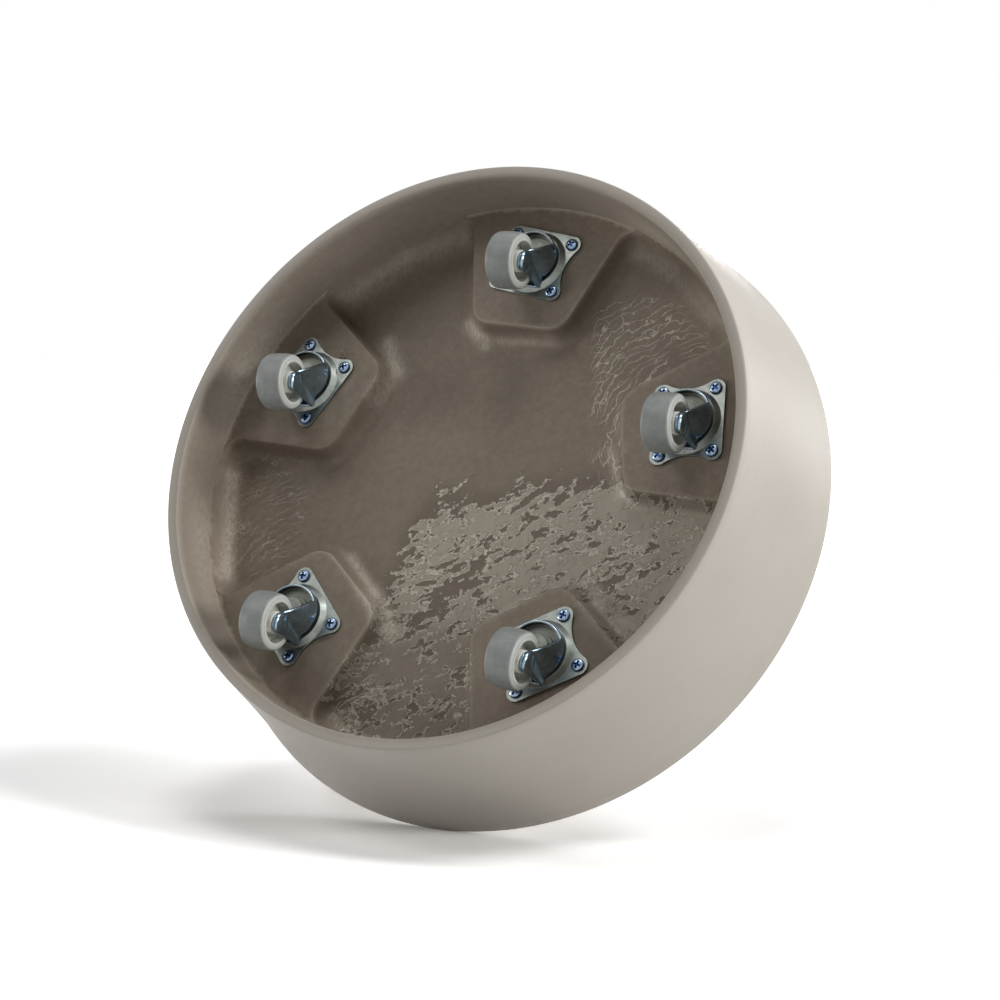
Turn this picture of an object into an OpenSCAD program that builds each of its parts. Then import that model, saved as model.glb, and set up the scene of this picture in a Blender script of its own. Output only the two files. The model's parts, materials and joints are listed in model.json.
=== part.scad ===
// Rolling planter: a round moulded planter saucer that runs on five small
// swivel casters, screwed to raised pads under its floor.
//
// Frame: millimetres, +Z up, Z = 0 is the ground under the wheels and the
// Z axis is the saucer's own axis. Caster 1 stands on the +X side and the
// others follow counterclockwise, seen from above.

/* [Saucer] */
// Outer diameter of the ring that faces the ground
rim_d = 320; // [300:1:360]
// Outer diameter of the top lip
lip_d = 349; // [340:1:400]
// Height of the moulding
body_h = 91.5; // [85:0.5:130]
// How far the outer wall is drawn in at half its height
wall_bow = 0.8; // [0:0.1:3]
// Width of the flat ring that faces the ground
rim_w = 6; // [4:0.5:9]
// Wall thickness of the dish
dish_wall = 6.5; // [4:0.5:9]
// Thickness of the floor between the dish and the underside
floor_t = 5; // [4:0.5:8]
// Fillet between the dish wall and the dish floor
dish_fillet = 8; // [3:0.5:14]
// Rounding of the top lip
lip_round = 2.6; // [1:0.1:3]
// Rounding of the ring's two edges
rim_round = 1.2; // [0.5:0.1:1.8]

/* [Pads] */
// Number of casters and of the pads that carry them
casters = 5; // [4:1:6]
// Height of the pad faces above the ring
pad_above_rim = 32; // [28:0.5:38]
// How far a pad stands out of the underside floor
pad_h = 11; // [9:0.5:14]
// Distance from the axis to the inner edge of a pad
pad_inner = 83.4; // [76:0.1:88]
// Half the angle that a pad takes up, its sides being radial
pad_half_angle = 17.6; // [15:0.1:19]
// Corner radius of a pad at its inner end
pad_corner = 12; // [8:0.5:14]
// Corner radius where a pad's side runs into the skirt
bay_corner = 10; // [9.5:0.5:12]
// Draft of the pad sides
pad_draft = 12; // [4:1:16]
// Fillet between the pads and the underside floor
foot_fillet = 8; // [4:0.5:8]
// Draft of the skirt's inner wall
skirt_draft = 2.3; // [1:0.1:3]
// Ledge left by the mould insert where the bays begin
insert_step = 0.3; // [0.2:0.1:0.6]

/* [Caster] */
// Height from the ground to the face that a caster is screwed to
caster_h = 41; // [41:0.5:46]
// Radius of the circle that the swivel axes stand on
caster_pitch = 117.5; // [114:0.5:120]
// How far the axle trails behind the swivel axis
trail = 11.6; // [10.5:0.1:12.5]
// Direction in which the casters trail
trail_angle = 107; // [0:1:359]

/* [Plate] */
// Hole spacing along the saucer's radius
hole_radial = 28; // [27:0.5:32]
// Hole spacing across the saucer's radius
hole_across = 34; // [33:0.5:38]
// Diameter of the plate's screw holes
hole_d = 4.4; // [3.9:0.1:5]
// Radius of the plate's corners
plate_corner = 5; // [4.5:0.1:6]
// Sheet thickness of the plate
plate_t = 1.6; // [1.2:0.1:1.8]
// Half width of the plate between its drawn-in short sides
plate_waist = 18.2; // [18:0.1:19]
// Outer radius of the pressed race dome
dome_r = 17.6; // [17:0.1:17.8]
// Radius of the flat of the race dome
dome_flat_r = 15.2; // [14.8:0.1:15.6]
// Depth of the race dome
dome_h = 2.5; // [2.2:0.1:2.8]

/* [Yoke] */
// Outer radius of the yoke's drawn cup
cup_r = 15; // [14.6:0.1:15.4]
// Sheet thickness of the yoke
yoke_t = 1.3; // [1:0.1:1.5]
// Outer corner radius of the drawn cup
cup_round = 2.4; // [1.8:0.1:2.6]
// Depth of the cup's front wall
cup_depth = 4.5; // [4:0.1:5.5]
// How much the yoke's round sides lean in below the cup, in degrees
side_lean = 10.7; // [9:0.1:12]
// How far the legs reach behind the swivel axis
leg_reach = 16.2; // [15.6:0.1:17]
// Side clearance between a wheel and the yoke's legs
wheel_gap = 0.7; // [0.5:0.1:1]
// Radius of the bosses that hold the axle
boss_r = 5.4; // [5:0.1:5.8]
// How far the bosses stand out of the legs
boss_out = 1.3; // [1:0.1:1.8]
// Radius of the collar between a boss and the hub
collar_r = 4.8; // [4.4:0.1:5]

/* [Bearings] */
// Diameter of the upper balls
upper_ball_d = 2.4; // [2.2:0.1:2.6]
// Radius of the upper ball circle
upper_race_r = 10.5; // [9.5:0.1:11]
// Number of upper balls
upper_balls_n = 12; // [8:1:16]
// Diameter of the lower balls
lower_ball_d = 2; // [1.8:0.1:2.2]
// Radius of the lower ball circle
lower_race_r = 5.8; // [5.4:0.1:6.2]
// Number of lower balls
lower_balls_n = 10; // [6:1:12]
// Gap between the sheets that hold the upper balls
upper_gap = 1; // [0.8:0.1:1.2]
// Gap between the yoke and the lower race cup
lower_gap = 0.8; // [0.6:0.1:1]
// Clearance round each ball
ball_gap = 0.05; // [0.03:0.01:0.1]
// Thickness of the lower race cup
race_cup_t = 1; // [0.8:0.1:1.2]
// Radius of the lower race cup
race_cup_r = 9.6; // [9:0.1:10]
// Kingpin diameter
kingpin_d = 5; // [4:0.1:6]
// Radius of the kingpin's lower head
kingpin_head_r = 7.4; // [7:0.1:8]
// Radius of the kingpin's riveted upper head
kingpin_rivet_r = 4.2; // [3.8:0.1:5]
// Running clearance of the kingpin and of the axle, on the radius
run_gap = 0.05; // [0.02:0.01:0.08]

/* [Wheel] */
// Wheel diameter
wheel_d = 30; // [29:0.5:31]
// Tyre width
wheel_w = 15; // [13:0.5:16]
// Tyre thickness
tyre_t = 3; // [2.5:0.1:3.5]
// Rounding of the tyre's shoulders
tyre_round = 2.2; // [1.5:0.1:2.4]
// How much the tread is crowned
tyre_crown = 0.3; // [0:0.1:0.6]
// Thickness of the core's rim
core_rim_t = 1.4; // [1.1:0.1:1.8]
// How far the core's rim stands out of the tyre's face
core_lip = 0.15; // [0:0.05:0.3]
// Radius of the hub
hub_r = 5.7; // [5.2:0.1:6.2]
// Thickness of the web between hub and rim
web_t = 3; // [2:0.1:4]
// Axle diameter
axle_d = 3; // [2.6:0.1:3.4]
// How deep each axle end sits in its collar and boss
axle_seat = 3; // [2.6:0.1:3.2]
// Metal left over the end of the axle
boss_skin = 0.9; // [0.7:0.1:1]
// Side clearance between the hub and the yoke's collars
hub_gap = 0.3; // [0.2:0.05:0.5]

/* [Screws] */
// Diameter of the screw shanks
screw_d = 3.6; // [3:0.1:3.8]
// Length of the screw shanks
screw_len = 12; // [9:0.5:12]
// Diameter of the pan heads
screw_head_d = 6.6; // [6:0.1:7]
// Height of the pan heads
screw_head_h = 1.9; // [1.6:0.1:2.2]
// Width of the cross recess's slots
recess_w = 1.2; // [0.9:0.1:1.4]
// Length of the cross recess's slots
recess_l = 4.2; // [3.6:0.1:4.6]
// Depth of the cross recess
recess_d = 1.3; // [1:0.1:1.4]
// Clearance between a screw and its pilot hole, on the radius
pilot_gap = 0.05; // [0.02:0.01:0.1]
// How much deeper the pilot holes are than the screws
pilot_extra = 1; // [0.5:0.5:1.5]

/* [Hidden] */
// How each caster was fitted by hand: degrees off its pad's centre line, mm
// off the pitch circle, degrees that the plate is turned, and degrees that
// the yoke stands off the common trailing direction
fitting = [
    [-1.5, 1.5, 7, -3],
    [-2, -3, 5, 4],
    [2, -0.5, 4, 2],
    [0.5, 1.5, 4, -4],
    [0, 2, 7, 0],
    [1, 0, 5, 1]
];
// Overshoot of the cutting solids
eps = 1;
// Facets of the exact round solids
fine = 96;
small = 48;

rim_z = caster_h - pad_above_rim;
top_z = rim_z + body_h;
pad_z = caster_h;
under_z = pad_z + pad_h;
dish_z = under_z + floor_t;
sector = 360 / casters;

plate_z = pad_z - plate_t;
dome_z = plate_z - dome_h;
crown_top = dome_z - upper_gap;
crown_z = crown_top - yoke_t;
race_cup_top = crown_z - lower_gap;
race_cup_z = race_cup_top - race_cup_t;
kingpin_head_h = 1.3;
kingpin_z = race_cup_z - kingpin_head_h;
kingpin_top = pad_z - 0.5;
upper_ball_z = (dome_z + crown_top) / 2;
lower_ball_z = (crown_z + race_cup_top) / 2;

axle_z = wheel_d / 2;
leg_in = wheel_w / 2 + wheel_gap;
leg_out = leg_in + yoke_t;
boss_end = leg_out + boss_out;
axle_end = boss_end - boss_skin;
collar_in = axle_end - axle_seat;
hub_half = collar_in - hub_gap;
core_r = wheel_d / 2 - tyre_t;

function fit(i, k) = fitting[i % len(fitting)][k];
function caster_angle(i) = i * sector + fit(i, 0);
function caster_radius(i) = caster_pitch + fit(i, 1);
function swivel_angle(i) = trail_angle + fit(i, 3);

// Outer wall radius at height z, drawn in a little between ring and lip
function wall_r(z) =
    let (s = (z - rim_z) / body_h)
    rim_d / 2 + (lip_d - rim_d) / 2 * s - wall_bow * 4 * s * (1 - s);
// Inner radius of the skirt at height z
function skirt_r(z) = rim_d / 2 - rim_w - (z - rim_z) * tan(skirt_draft);
// Inner radius of the dish at height z
function dish_r(z) = wall_r(z) - dish_wall;
// Points of an arc
function arc(c, r, a0, a1, n) =
    [for (i = [0:n]) let (a = a0 + (a1 - a0) * i / n) c + r * [cos(a), sin(a)]];

// Revolved section of the moulding, without the bays between the pads
module saucer_section() {
    wall_n = 16;
    step = body_h / wall_n;
    outer = [for (i = [1:wall_n - 1]) [wall_r(rim_z + i * step), rim_z + i * step]];
    lip_c = [wall_r(top_z) - lip_round, top_z - lip_round];
    lip_in = [dish_r(top_z) + lip_round, top_z - lip_round];
    foot = [dish_r(dish_z) - dish_fillet, dish_z + dish_fillet];
    rim_out = [rim_d / 2 - rim_round, rim_z + rim_round];
    rim_in = [rim_d / 2 - rim_w + rim_round, rim_z + rim_round];
    polygon(concat(
        [[0, pad_z], [skirt_r(pad_z), pad_z]],
        arc(rim_in, rim_round, 180, 270, 5),
        arc(rim_out, rim_round, 270, 360, 5),
        outer,
        arc(lip_c, lip_round, 0, 90, 6),
        arc(lip_in, lip_round, 90, 180, 6),
        arc(foot, dish_fillet, 0, -90, 8),
        [[0, dish_z]]
    ));
}

// Sideways growth of a pad from its face down to the depth d in its side
foot_e = pad_h * tan(pad_draft) + foot_fillet * tan((90 - pad_draft) / 2);
foot_n = 6;
// Levels of the bays: [growth of the pads, depth under the pad faces]
bay_levels = concat(
    [[0, -eps], [0, 0]],
    [for (i = [0:foot_n])
        let (a = pad_draft + (90 - pad_draft) * i / foot_n)
        [foot_e - foot_fillet * cos(a), pad_h - foot_fillet * (1 - sin(a))]]
);

// One sector of the bays' outline, with the pads grown by e: it starts at
// the middle of a pad's inner end and ends at the middle of the next one
function bay_sector(e) =
    let (
        h = pad_half_angle,
        skirt = skirt_r(pad_z) - insert_step - e,
        rb = bay_corner,
        rc = pad_corner + e,
        cu = pad_inner + pad_corner,
        cv = (cu * sin(h) - pad_corner) / cos(h),
        off = rb + e,
        reach = sqrt(pow(skirt - rb, 2) - off * off),
        bc = [reach * cos(h) - off * sin(h), reach * sin(h) + off * cos(h)],
        turn = atan2(bc[1], bc[0]),
        half = concat(
            arc([cu, cv], rc, 180, 90 + h, 5),
            arc(bc, rb, h - 90, turn, 5)
        ),
        mid = [for (i = [1:9]) let (a = turn + (sector - 2 * turn) * i / 10)
            skirt * [cos(a), sin(a)]],
        next = [for (i = [len(half) - 1:-1:0])
            let (x = half[i][0], y = -half[i][1])
            [x * cos(sector) - y * sin(sector), x * sin(sector) + y * cos(sector)]]
    )
    concat(half, mid, next);

function bay_ring(e, z) = [
    for (s = [0:casters - 1], p = bay_sector(e))
        [p[0] * cos(s * sector) - p[1] * sin(s * sector),
            p[0] * sin(s * sector) + p[1] * cos(s * sector), z]
];

// The deeper part of the underside: five bays and the middle between them
module bays() {
    rings = [for (l = bay_levels) bay_ring(l[0], pad_z + l[1])];
    n = len(rings[0]);
    m = len(rings);
    points = [for (r = rings, p = r) p];
    sides = [for (j = [0:m - 2], i = [0:n - 1])
        [j * n + i, (j + 1) * n + i, (j + 1) * n + (i + 1) % n, j * n + (i + 1) % n]];
    bottom = [for (i = [0:n - 1]) i];
    top = [for (i = [n - 1:-1:0]) (m - 1) * n + i];
    polyhedron(points, concat([bottom], sides, [top]), convexity = 8);
}

// Places its children at caster i, X along the saucer's radius
module at_caster(i) {
    rotate([0, 0, caster_angle(i)])
        translate([caster_radius(i), 0, 0])
            children();
}

// Places its children at the plate of caster i, as it was turned
module at_plate(i) {
    at_caster(i) rotate([0, 0, fit(i, 2)]) children();
}

// Places its children at the swivel of caster i, X along the trail
module at_swivel(i) {
    at_caster(i)
        rotate([0, 0, swivel_angle(i) - caster_angle(i)])
            children();
}

// Places its children on the axle of caster i, Z along the axle
module at_axle(i) {
    at_swivel(i)
        translate([trail, 0, axle_z])
            rotate([90, 0, 0])
                children();
}

// Places its children at a plate's four holes
module at_holes() {
    for (x = [-1, 1], y = [-1, 1])
        translate([x * hole_radial / 2, y * hole_across / 2, 0])
            children();
}

module saucer() {
    color("#8b8276")
        difference() {
            rotate_extrude($fn = fine) saucer_section();
            bays();
            for (i = [0:casters - 1])
                at_plate(i)
                    at_holes()
                        translate([0, 0, pad_z - eps])
                            cylinder(
                                d = screw_d + 2 * pilot_gap,
                                h = eps + screw_len - plate_t + pilot_extra,
                                $fn = small
                            );
        }
}

// Plate outline: straight long sides, drawn-in short sides, round corners
module plate_outline() {
    a = hole_radial / 2;
    b = hole_across / 2;
    w = plate_waist - b;
    waist_r = (a * a + w * w - plate_corner * plate_corner) / (2 * (plate_corner - w));
    waist_y = plate_waist + waist_r;
    k = plate_corner / (waist_r + plate_corner);
    tangent = [a * (1 - k), b + (waist_y - b) * k];
    for (x = [-a, a], y = [-b, b])
        translate([x, y]) circle(plate_corner, $fn = small);
    square([2 * (a + plate_corner), 2 * b], center = true);
    for (s = [-1, 1])
        scale([1, s])
            difference() {
                polygon([
                    [-a, b - eps], [a, b - eps], [a, b], tangent,
                    [-tangent[0], tangent[1]], [-a, b]
                ]);
                translate([0, waist_y]) circle(waist_r, $fn = fine);
            }
}

// Revolved section of the race dome, pressed down out of the plate
module dome_section() {
    shank = kingpin_d / 2;
    slope = atan2(dome_r - dome_flat_r, dome_h);
    shift = plate_t * tan((90 - slope) / 2);
    difference() {
        polygon([
            [shank, dome_z], [dome_flat_r, dome_z], [dome_r, plate_z],
            [dome_r, pad_z], [dome_r - shift, pad_z],
            [dome_flat_r - shift, dome_z + plate_t], [shank, dome_z + plate_t]
        ]);
        translate([upper_race_r, upper_ball_z])
            circle(upper_ball_d / 2 + ball_gap, $fn = small);
    }
}

module plate(i) {
    color("#c9ccc8")
        at_plate(i) {
            difference() {
                translate([0, 0, plate_z])
                    linear_extrude(plate_t) plate_outline();
                translate([0, 0, plate_z - eps])
                    cylinder(r = dome_r, h = plate_t + 2 * eps, $fn = fine);
                at_holes()
                    translate([0, 0, plate_z - eps])
                        cylinder(d = hole_d, h = plate_t + 2 * eps, $fn = small);
            }
            rotate_extrude($fn = fine) dome_section();
        }
}

module balls(n, race_r, d, z) {
    for (j = [0:n - 1])
        rotate([0, 0, j * 360 / n])
            translate([race_r, 0, z])
                sphere(d = d, $fn = small);
}

module upper_balls(i) {
    color("#e4e6e8")
        at_swivel(i) balls(upper_balls_n, upper_race_r, upper_ball_d, upper_ball_z);
}

module lower_balls(i) {
    color("#e4e6e8")
        at_swivel(i) balls(lower_balls_n, lower_race_r, lower_ball_d, lower_ball_z);
}

// Body of the yoke with its sheet grown inward by t: a round cup whose sides
// lean in below it, and two straight legs behind
module yoke_body(t, reach, top) {
    cup_low = crown_top - cup_round;
    lean = cup_low * tan(side_lean);
    cylinder(r1 = cup_r - t - lean, r2 = cup_r - t, h = cup_low, $fn = fine);
    translate([0, 0, cup_low])
        cylinder(r = cup_r - t, h = top - cup_low, $fn = fine);
    translate([0, -(leg_out - t), 0])
        cube([reach, 2 * (leg_out - t), top]);
}

// Side view of the yoke, X along the trail and Y up: level in front, then
// swept down to the underside of the boss, with an upright rear edge
module yoke_side() {
    front_z = crown_top - cup_depth;
    swing = 126;
    end_r = boss_r - 0.2;
    sweep_n = 12;
    sag = 0.7;
    from = [-cup_r / 2, front_z];
    to = [trail - end_r * sin(swing), axle_z + end_r * cos(swing)];
    sweep = [for (k = [0:sweep_n])
        let (s = k / sweep_n)
        from + s * (to - from) - [0, 4 * sag * s * (1 - s)]];
    polygon(concat(
        [[-cup_r - eps, crown_top + eps], [-cup_r - eps, front_z]],
        sweep,
        arc([trail, axle_z], end_r, 90 + swing, 340, 10),
        [[leg_reach, axle_z + boss_r], [leg_reach, crown_top + eps]]
    ));
}

// Boss and collar on one side, revolved about the axle
module boss_section() {
    dome_n = 6;
    collar_t = 0.7;
    groove_r = collar_r - 0.8;
    top = [for (k = [0:dome_n]) let (a = 90 * k / dome_n)
        [boss_r * cos(a), leg_out + boss_out * sin(a)]];
    polygon(concat(
        [[0, collar_in], [collar_r, collar_in], [collar_r, collar_in + collar_t],
            [groove_r, collar_in + collar_t], [groove_r, leg_in], [boss_r, leg_in]],
        top
    ));
}

module yoke(i) {
    color("#aeb4b6")
        at_swivel(i)
            difference() {
                union() {
                    difference() {
                        intersection() {
                            yoke_body(0, leg_reach, crown_top);
                            translate([0, cup_r + eps, 0])
                                rotate([90, 0, 0])
                                    linear_extrude(2 * (cup_r + eps)) yoke_side();
                        }
                        yoke_body(yoke_t, leg_reach + eps, crown_z);
                        cup_edge();
                    }
                    for (s = [90, -90])
                        translate([trail, 0, axle_z])
                            rotate([s, 0, 0])
                                rotate_extrude($fn = small) boss_section();
                }
                translate([trail, axle_end, axle_z])
                    rotate([90, 0, 0])
                        cylinder(d = axle_d, h = 2 * axle_end, $fn = small);
                translate([0, 0, crown_z - eps])
                    cylinder(
                        d = kingpin_d + 2 * run_gap,
                        h = yoke_t + 2 * eps,
                        $fn = small
                    );
                race_groove(upper_race_r, upper_ball_d, upper_ball_z);
                race_groove(lower_race_r, lower_ball_d, lower_ball_z);
            }
}

// Rounds the outer corner of the drawn cup in front of the legs
module cup_edge() {
    corner = [cup_r - cup_round, crown_top - cup_round];
    difference() {
        rotate_extrude($fn = fine)
            polygon(concat(
                arc(corner, cup_round, 0, 90, 6),
                [[corner[0], crown_top + eps], [cup_r + eps, crown_top + eps],
                    [cup_r + eps, corner[1]]]
            ));
        translate([0, -leg_out, 0])
            cube([cup_r + 2 * eps, 2 * leg_out, crown_top + 2 * eps]);
    }
}

module race_groove(race_r, d, z) {
    rotate_extrude($fn = fine)
        translate([race_r, z])
            circle(d / 2 + ball_gap, $fn = small);
}

module race_cup(i) {
    color("#c3c7c4")
        at_swivel(i)
            difference() {
                translate([0, 0, race_cup_z])
                    cylinder(r = race_cup_r, h = race_cup_t, $fn = fine);
                translate([0, 0, race_cup_z - eps])
                    cylinder(d = kingpin_d, h = race_cup_t + 2 * eps, $fn = small);
                race_groove(lower_race_r, lower_ball_d, lower_ball_z);
            }
}

module kingpin(i) {
    color("#d5d8d6")
        at_swivel(i) {
            translate([0, 0, kingpin_z])
                cylinder(d = kingpin_d, h = kingpin_top - kingpin_z, $fn = small);
            translate([0, 0, kingpin_z])
                cylinder(r = kingpin_head_r, h = kingpin_head_h, $fn = small);
            translate([0, 0, dome_z + plate_t])
                cylinder(
                    r = kingpin_rivet_r,
                    h = kingpin_top - dome_z - plate_t,
                    $fn = small
                );
        }
}

module axle(i) {
    color("#d5d8d6")
        at_axle(i)
            cylinder(d = axle_d, h = 2 * axle_end, center = true, $fn = small);
}

// Half section of the wheel core: hub, web and rim
module core_section() {
    bore = axle_d / 2 + run_gap;
    lip = wheel_w / 2 + core_lip;
    inner = core_r - core_rim_t;
    polygon([
        [bore, -hub_half], [hub_r, -hub_half], [hub_r, -web_t / 2],
        [inner, -web_t / 2], [inner, -lip], [core_r, -lip],
        [core_r, lip], [inner, lip], [inner, web_t / 2],
        [hub_r, web_t / 2], [hub_r, hub_half], [bore, hub_half]
    ]);
}

module wheel_core(i) {
    color("#a3a69b")
        at_axle(i) rotate_extrude($fn = fine) core_section();
}

// Half section of the tyre: crowned tread and round shoulders
module tyre_section() {
    r = wheel_d / 2;
    shoulder = [r - tyre_crown - tyre_round, wheel_w / 2 - tyre_round];
    polygon(concat(
        [[core_r, -wheel_w / 2]],
        arc([shoulder[0], -shoulder[1]], tyre_round, -90, 0, 6),
        [[r, -wheel_w / 8], [r, wheel_w / 8]],
        arc(shoulder, tyre_round, 0, 90, 6),
        [[core_r, wheel_w / 2]]
    ));
}

module tyre(i) {
    color("#7f817c")
        at_axle(i) rotate_extrude($fn = fine) tyre_section();
}

// A pan-head screw that points up into its pad
module screw() {
    edge = 0.7;
    cap_n = 6;
    head = [for (k = [0:cap_n]) let (a = 90 * k / cap_n)
        [screw_head_d / 2 * cos(a), -edge - (screw_head_h - edge) * sin(a)]];
    tip = 2.2;
    difference() {
        rotate_extrude($fn = small)
            polygon(concat(
                [[0, screw_len], [0.5, screw_len], [screw_d / 2, screw_len - tip],
                    [screw_d / 2, 0], [screw_head_d / 2, 0]],
                head
            ));
        for (a = [45, 135])
            rotate([0, 0, a])
                translate([-recess_l / 2, -recess_w / 2, -screw_head_h - eps])
                    cube([recess_l, recess_w, recess_d + eps]);
    }
}

module screws(i) {
    color("#5f7fa8")
        at_plate(i) at_holes() translate([0, 0, plate_z]) screw();
}

saucer();
for (i = [0:casters - 1]) {
    plate(i);
    upper_balls(i);
    yoke(i);
    lower_balls(i);
    race_cup(i);
    kingpin(i);
    axle(i);
    wheel_core(i);
    tyre(i);
    screws(i);
}
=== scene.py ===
"""Looks of a rolling planter: a moulded saucer on five small swivel casters, seen from below.

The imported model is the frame: metres, +Z up, Z = 0 the ground under the wheels. Sizes that repeat
the CAD source are in millimetres and are scaled by MM where a mesh is made.
"""

import json
import math

import bmesh
import bpy
import numpy as np
from mathutils import Matrix, Vector
from mathutils.geometry import delaunay_2d_cdt

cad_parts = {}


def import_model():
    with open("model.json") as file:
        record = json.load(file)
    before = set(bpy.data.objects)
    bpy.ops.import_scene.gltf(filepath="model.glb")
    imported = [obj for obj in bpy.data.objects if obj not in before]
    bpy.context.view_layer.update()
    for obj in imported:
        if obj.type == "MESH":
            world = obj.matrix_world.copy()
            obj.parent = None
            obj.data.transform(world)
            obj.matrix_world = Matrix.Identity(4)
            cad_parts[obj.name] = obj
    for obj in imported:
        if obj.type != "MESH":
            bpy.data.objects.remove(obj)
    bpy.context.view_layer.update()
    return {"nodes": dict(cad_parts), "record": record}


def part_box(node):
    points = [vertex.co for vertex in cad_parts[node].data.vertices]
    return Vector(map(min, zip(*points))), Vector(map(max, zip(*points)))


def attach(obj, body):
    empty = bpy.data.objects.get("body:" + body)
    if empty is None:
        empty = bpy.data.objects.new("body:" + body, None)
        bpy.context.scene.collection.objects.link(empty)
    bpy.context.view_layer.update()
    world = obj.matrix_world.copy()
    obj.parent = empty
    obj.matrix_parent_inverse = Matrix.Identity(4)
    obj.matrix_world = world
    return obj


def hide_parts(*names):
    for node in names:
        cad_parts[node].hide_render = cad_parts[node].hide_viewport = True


MM = 0.001

# The saucer, as in the CAD source: millimetres, drafts in radians, other angles in degrees
RIM_R = 160.0
LIP_R = 174.5
BODY_H = 91.5
RIM_Z = 9.0
TOP_Z = RIM_Z + BODY_H
WALL_BOW = 0.8
RIM_W = 6.0
RIM_ROUND = 1.2
LIP_ROUND = 2.6
DISH_WALL = 6.5
DISH_FILLET = 8.0
SKIRT_DRAFT = math.radians(2.3)
PAD_Z = 41.0
PAD_H = 11.0
FLOOR_T = 5.0
DISH_Z = PAD_Z + PAD_H + FLOOR_T
CASTERS = 5
SECTOR = 360.0 / CASTERS
PAD_INNER = 83.4
PAD_HALF = 17.6
PAD_CORNER = 12.0
BAY_CORNER = 10.0
PAD_DRAFT = math.radians(12.0)
FOOT_FILLET = 8.0
CREST_R = 0.6
SKIRT_R = RIM_R - RIM_W - (PAD_Z - RIM_Z) * math.tan(SKIRT_DRAFT)

# The middle of a pad's round inner corner, along and across the pad
PAD_SIDE = math.radians(PAD_HALF)
CORNER_U = PAD_INNER + PAD_CORNER
CORNER_V = (CORNER_U * math.sin(PAD_SIDE) - PAD_CORNER) / math.cos(PAD_SIDE)

# Growths, which are distances out from a pad's face in plan: where the foot fillet ends and
# begins, and where the round crest begins and ends
FOOT_E = PAD_H * math.tan(PAD_DRAFT) + FOOT_FILLET * math.tan((math.pi / 2 - PAD_DRAFT) / 2)
FLAT_E = FOOT_E - FOOT_FILLET * math.cos(PAD_DRAFT)
CREST_FROM = -CREST_R * math.tan((math.pi / 2 - PAD_DRAFT) / 2)
CREST_TO = CREST_FROM + CREST_R * math.cos(PAD_DRAFT)
# Skirt's distance less the pad's over which a bay's border turns from skirt to pad's side
SIDE_BLEND = (-5.0, 3.0)

# Share of the inside's colour on the skirt, then on the ring's inner edge, face and outer edge
SKIRT_LOOK = 0.82
RING_LOOK = (0.45, 0.25, 0.12)
# Width of the painted highlight line along the skirt's upper edge, and its strength beside the
# pads' painted highlight lines
SKIRT_HIGHLIGHT_WIDTH = 0.7
SKIRT_EDGE_HIGHLIGHT = 2.5

# Mesh density of the saucer: steps round it, up the skirt, wall and dish, in each edge's arc,
# and down the dish's wall; the dish floor's rings as shares of its radius
ROUND_N = 360
SKIRT_N = 8
WALL_N = 22
DISH_N = 8
RING_ARC_N = 6
LIP_ARC_N = 8
DISH_ARC_N = 9
DISH_RINGS = (0.9, 0.75, 0.6, 0.45, 0.3, 0.15, 0.05)
# Mesh density of the underside: grid steps on floor and pad faces, their unevenness and seeds,
# step along an outline, and steps along a pad's inner edge and round a corner
FLOOR_STEP = 1.1
FACE_STEP = 2.2
GRID_JITTER = 0.22
FLOOR_SEED = 3
FACE_SEED = 4
RING_STEP = 1.3
START_N = 8
CORNER_N = 12
# Edge lines on a pad's side: angles round the crest, share of the flat side, lines on the foot
CREST_ANGLES = (0, 20, 40, 60, 78)
FLAT_LINE = 0.6
FOOT_LINES = 9
# Outline points nearer than this to the skirt are left out, and others count as on it
OUTLINE_GAP = 0.12
ON_EDGE = 0.01
# Points nearer to each other are one, in the plan and in the mesh
MERGE_PLAN = 1e-5
WELD = 0.004
SHARP_ANGLE = math.radians(36)

# The photograph's camera, fitted on a frame whose unit is the ring's radius
CAM_TURN = (-0.4752663, 0.3639413, -0.2942404)
CAM_SHIFT = (-0.1770381, -0.1725376, 7.7976770)
CAM_FOCAL_PX = 2485.81
PHOTO_PX = 1000.0
SENSOR_MM = 36.0
CLIP_START = 0.01
PART_TURN = math.radians(12.2)
PHOTO_PITCH = math.radians(6.0)


# ---- small helpers


def srgb(red, green, blue):
    """A colour written as 0-255 screen values, as the linear colour that nodes take."""
    out = []
    for v in (red, green, blue):
        c = v / 255.0
        out.append(c / 12.92 if c <= 0.04045 else ((c + 0.055) / 1.055) ** 2.4)
    return (*out, 1.0)


def smooth(low, high, value):
    """A smooth step from 0 at low to 1 at high, where low may be the greater."""
    t = np.clip((value - low) / (high - low), 0.0, 1.0)
    return t * t * (3.0 - 2.0 * t)


def cell_hash(ix, iy, seed):
    """A fixed number from 0 to 1 for each cell of a square lattice."""
    h = (ix * 374761393 + iy * 668265263 + seed * 974634777) & 0xFFFFFFFF
    h = ((h ^ (h >> 13)) * 1274126177) & 0xFFFFFFFF
    return (h ^ (h >> 16)) / float(0xFFFFFFFF)


def ease(t):
    """The usual fifth-order fade between lattice points."""
    return t * t * t * (t * (t * 6 - 15) + 10)


NOISE_GAIN = 1.5
OCTAVE_SEEDS = 17


def gradient_noise(x, y, seed):
    """Smooth noise between about -1 and 1 with features one unit wide."""
    ix, iy = np.floor(x).astype(np.int64), np.floor(y).astype(np.int64)
    fx, fy = x - ix, y - iy
    ux, uy = ease(fx), ease(fy)
    total = np.zeros_like(x)
    for dx in (0, 1):
        for dy in (0, 1):
            a = cell_hash(ix + dx, iy + dy, seed) * 2 * math.pi
            w = (ux if dx else 1 - ux) * (uy if dy else 1 - uy)
            total += w * (np.cos(a) * (fx - dx) + np.sin(a) * (fy - dy))
    return total * NOISE_GAIN


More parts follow.
